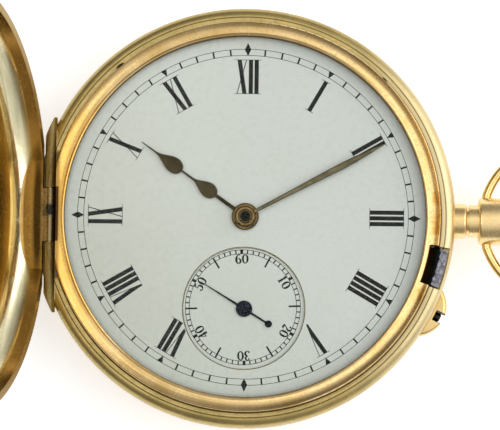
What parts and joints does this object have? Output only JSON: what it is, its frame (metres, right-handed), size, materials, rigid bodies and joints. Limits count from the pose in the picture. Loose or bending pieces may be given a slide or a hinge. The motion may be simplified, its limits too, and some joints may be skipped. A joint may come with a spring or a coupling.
{
  "type": "half hunter pocket watch",
  "caption": "Pocket watch with a hinged front cover that has a small window, a ridged bezel, Roman numerals, a sunk seconds dial, and a crown and bow at 3 o'clock.",
  "frame": {"origin": "centre of the flat on the back cover that the watch lies on", "axes": "+Z out of the dial, +X to 3 o'clock and the pendant, +Y to 12 o'clock; the hinges are at -X"},
  "size_m": [0.0879, 0.05, 0.0537],
  "materials": {
    "gold": "polished",
    "gilt_plate": "frosted",
    "wheel_brass": "satin",
    "steel": "polished",
    "blued_steel": "polished",
    "bronze": "polished",
    "ruby": "polished",
    "glass": "clear",
    "enamel": "gloss"
  },
  "bodies": {
    "case": {"case_middle": "gold", "pendant": "gold", "bezel": "gold", "crystal": "glass", "front_hinge_pin": "gold", "back_hinge_pin": "gold", "fly_spring": "steel", "spring_screws": "steel", "push_pin_guard": "gold", "case_screws": "steel", "main_plate": "gilt_plate", "barrel_bridge": "gilt_plate", "train_bridge": "gilt_plate", "pallet_bridge": "gilt_plate", "balance_cock": "gilt_plate", "bridge_screws": "blued_steel", "train_jewels": "ruby", "click_spring": "steel", "crown_wheel_screw": "blued_steel", "hairspring": "blued_steel", "dial": "enamel", "seconds_dial": "enamel"},
    "front_cover": {"front_cover": "gold", "cover_window": "glass"},
    "back_cover": {"back_cover": "gold"},
    "dust_cover": {"dust_cover": "gold"},
    "lock_spring": {"lock_spring": "steel"},
    "release_sleeve": {"release_sleeve": "steel"},
    "crown": {"crown": "gold", "winding_stem": "steel"},
    "winding_pinion": {"winding_pinion": "steel"},
    "sliding_pinion": {"sliding_pinion": "steel"},
    "crown_wheel": {"crown_wheel": "steel"},
    "ratchet": {"ratchet_wheel": "steel", "ratchet_screw": "blued_steel", "barrel_arbor": "steel"},
    "barrel": {"barrel_drum": "wheel_brass", "barrel_lid": "wheel_brass", "mainspring": "steel"},
    "center_arbor": {"center_wheel": "wheel_brass", "cannon_pinion": "steel", "minute_hand": "bronze"},
    "third_arbor": {"third_wheel": "wheel_brass"},
    "fourth_arbor": {"fourth_wheel": "wheel_brass", "seconds_hand": "blued_steel"},
    "escape_arbor": {"escape_wheel": "steel"},
    "pallets": {"pallet_fork": "steel", "pallet_stones": "ruby"},
    "balance": {"balance_wheel": "wheel_brass", "balance_staff": "steel"},
    "hour_pipe": {"hour_wheel": "wheel_brass", "hour_hand": "bronze"},
    "minute_wheel": {"minute_wheel": "wheel_brass"},
    "setting_wheel": {"setting_wheel": "steel"},
    "click": {"click": "steel"},
    "regulator": {"regulator": "steel"},
    "bow": {"bow": "gold"},
    "push_pin": {"push_pin": "gold"},
    "setting_lever": {"setting_lever": "steel"},
    "clutch_lever": {"clutch_lever": "steel"}
  },
  "joints": [
    {"name": "front_cover_hinge", "type": "hinge", "parent": "case", "child": "front_cover", "pos_m": [-0.02315, 0, 0.00845], "axis": [0, 1, 0], "range_deg": [0, 107], "stiffness_Nm_per_rad": 0.0017},
    {"name": "back_cover_hinge", "type": "hinge", "parent": "case", "child": "back_cover", "pos_m": [-0.02315, 0, 0.0029], "axis": [0, 1, 0], "range_deg": [0, 95]},
    {"name": "dust_cover_hinge", "type": "hinge", "parent": "case", "child": "dust_cover", "pos_m": [-0.02315, 0, 0.0029], "axis": [0, 1, 0], "range_deg": [0, 86]},
    {"name": "crown_press", "type": "slide", "parent": "case", "child": "release_sleeve", "axis": [-1, 0, 0], "range_m": [0, 0.0006], "stiffness_N_per_m": 800},
    {"name": "lock_spring_flex", "type": "hinge", "parent": "case", "child": "lock_spring", "pos_m": [0.0079, -0.02171, 0.00785], "axis": [0, 0, 1], "range_deg": [0, 1.7]},
    {"name": "crown_turn", "type": "hinge", "parent": "release_sleeve", "child": "crown", "pos_m": [0.026, 0, 0.00625], "axis": [1, 0, 0], "continuous": true},
    {"name": "winding_pinion_turn", "type": "hinge", "parent": "case", "child": "winding_pinion", "pos_m": [0.026, 0, 0.00625], "axis": [1, 0, 0], "continuous": true},
    {"name": "crown_wheel_turn", "type": "hinge", "parent": "case", "child": "crown_wheel", "pos_m": [0.013, 0, 0.004], "axis": [0, 0, 1], "continuous": true},
    {"name": "ratchet_turn", "type": "hinge", "parent": "case", "child": "ratchet", "pos_m": [0.00411, 0.0095, 0.004], "axis": [0, 0, 1], "continuous": true},
    {"name": "push_pin_press", "type": "slide", "parent": "case", "child": "push_pin", "axis": [-0.8949, 0.4462, 0], "range_m": [0, 0.0005], "stiffness_N_per_m": 500},
    {"name": "setting_lever_swing", "type": "hinge", "parent": "case", "child": "setting_lever", "pos_m": [0.0152, -0.0116, 0.006], "axis": [0, 0, 1], "range_deg": [0, 8]},
    {"name": "clutch_lever_swing", "type": "hinge", "parent": "case", "child": "clutch_lever", "pos_m": [0.01525, -0.0074, 0.006], "axis": [0, 0, 1], "range_deg": [0, 8]},
    {"name": "sliding_pinion_shift", "type": "slide", "parent": "winding_pinion", "child": "sliding_pinion", "axis": [-1, 0, 0], "range_m": [0, 0.00081]},
    {"name": "bow_swing", "type": "hinge", "parent": "case", "child": "bow", "pos_m": [0.0288, 0, 0.00625], "axis": [0, 1, 0], "range_deg": [-80, 80]},
    {"name": "seconds_turn", "type": "hinge", "parent": "case", "child": "fourth_arbor", "pos_m": [0, -0.01093, 0.0063], "axis": [0, 0, 1], "continuous": true},
    {"name": "third_wheel_turn", "type": "hinge", "parent": "case", "child": "third_arbor", "pos_m": [0.00379, -0.00612, 0.0054], "axis": [0, 0, 1], "continuous": true},
    {"name": "center_turn", "type": "hinge", "parent": "case", "child": "center_arbor", "pos_m": [0, 0, 0.005], "axis": [0, 0, 1], "continuous": true},
    {"name": "hour_turn", "type": "hinge", "parent": "case", "child": "hour_pipe", "pos_m": [0, 0, 0.0082], "axis": [0, 0, 1], "continuous": true},
    {"name": "minute_wheel_turn", "type": "hinge", "parent": "case", "child": "minute_wheel", "pos_m": [0.00451, 0.00164, 0.0079], "axis": [0, 0, 1], "continuous": true},
    {"name": "setting_wheel_turn", "type": "hinge", "parent": "case", "child": "setting_wheel", "pos_m": [0.01028, 0, 0.0079], "axis": [0, 0, 1], "continuous": true},
    {"name": "barrel_turn", "type": "hinge", "parent": "case", "child": "barrel", "pos_m": [0.00411, 0.0095, 0.006], "axis": [0, 0, 1], "continuous": true},
    {"name": "escape_wheel_turn", "type": "hinge", "parent": "case", "child": "escape_arbor", "pos_m": [-0.00558, -0.01242, 0.0056], "axis": [0, 0, 1], "continuous": true},
    {"name": "pallet_swing", "type": "hinge", "parent": "case", "child": "pallets", "pos_m": [-0.00799, -0.00933, 0.0056], "axis": [0, 0, 1], "range_deg": [-5, 5]},
    {"name": "balance_swing", "type": "hinge", "parent": "case", "child": "balance", "pos_m": [-0.0112, -0.0052, 0.0044], "axis": [0, 0, 1], "range_deg": [-270, 270], "stiffness_Nm_per_rad": 0.0000028},
    {"name": "regulator_swing", "type": "hinge", "parent": "case", "child": "regulator", "pos_m": [-0.0112, -0.0052, 0.0029], "axis": [0, 0, 1], "range_deg": [-12, 12]},
    {"name": "click_swing", "type": "hinge", "parent": "case", "child": "click", "pos_m": [-0.00324, 0.01567, 0.004], "axis": [0, 0, 1], "range_deg": [0, 10], "stiffness_Nm_per_rad": 0.00002}
  ],
  "couplings": [
    {"joint": "dust_cover_hinge", "follows": "back_cover_hinge", "ratio": 0.9},
    {"joint": "lock_spring_flex", "follows": "crown_press", "rad_per_m": 48.3},
    {"joint": "winding_pinion_turn", "follows": "crown_turn", "ratio": 1},
    {"joint": "crown_wheel_turn", "follows": "crown_turn", "ratio": 0.32143},
    {"joint": "ratchet_turn", "follows": "crown_turn", "ratio": -0.24324},
    {"joint": "setting_lever_swing", "follows": "push_pin_press", "rad_per_m": 273},
    {"joint": "clutch_lever_swing", "follows": "push_pin_press", "rad_per_m": 258},
    {"joint": "sliding_pinion_shift", "follows": "push_pin_press", "ratio": 1.6},
    {"joint": "third_wheel_turn", "follows": "seconds_turn", "ratio": -0.13333},
    {"joint": "center_turn", "follows": "seconds_turn", "ratio": 0.016667},
    {"joint": "hour_turn", "follows": "seconds_turn", "ratio": 0.0013889},
    {"joint": "minute_wheel_turn", "follows": "seconds_turn", "ratio": -0.0055556},
    {"joint": "setting_wheel_turn", "follows": "seconds_turn", "ratio": 0.0083333},
    {"joint": "barrel_turn", "follows": "seconds_turn", "ratio": -0.0020833},
    {"joint": "escape_wheel_turn", "follows": "seconds_turn", "ratio": -10}
  ]
}
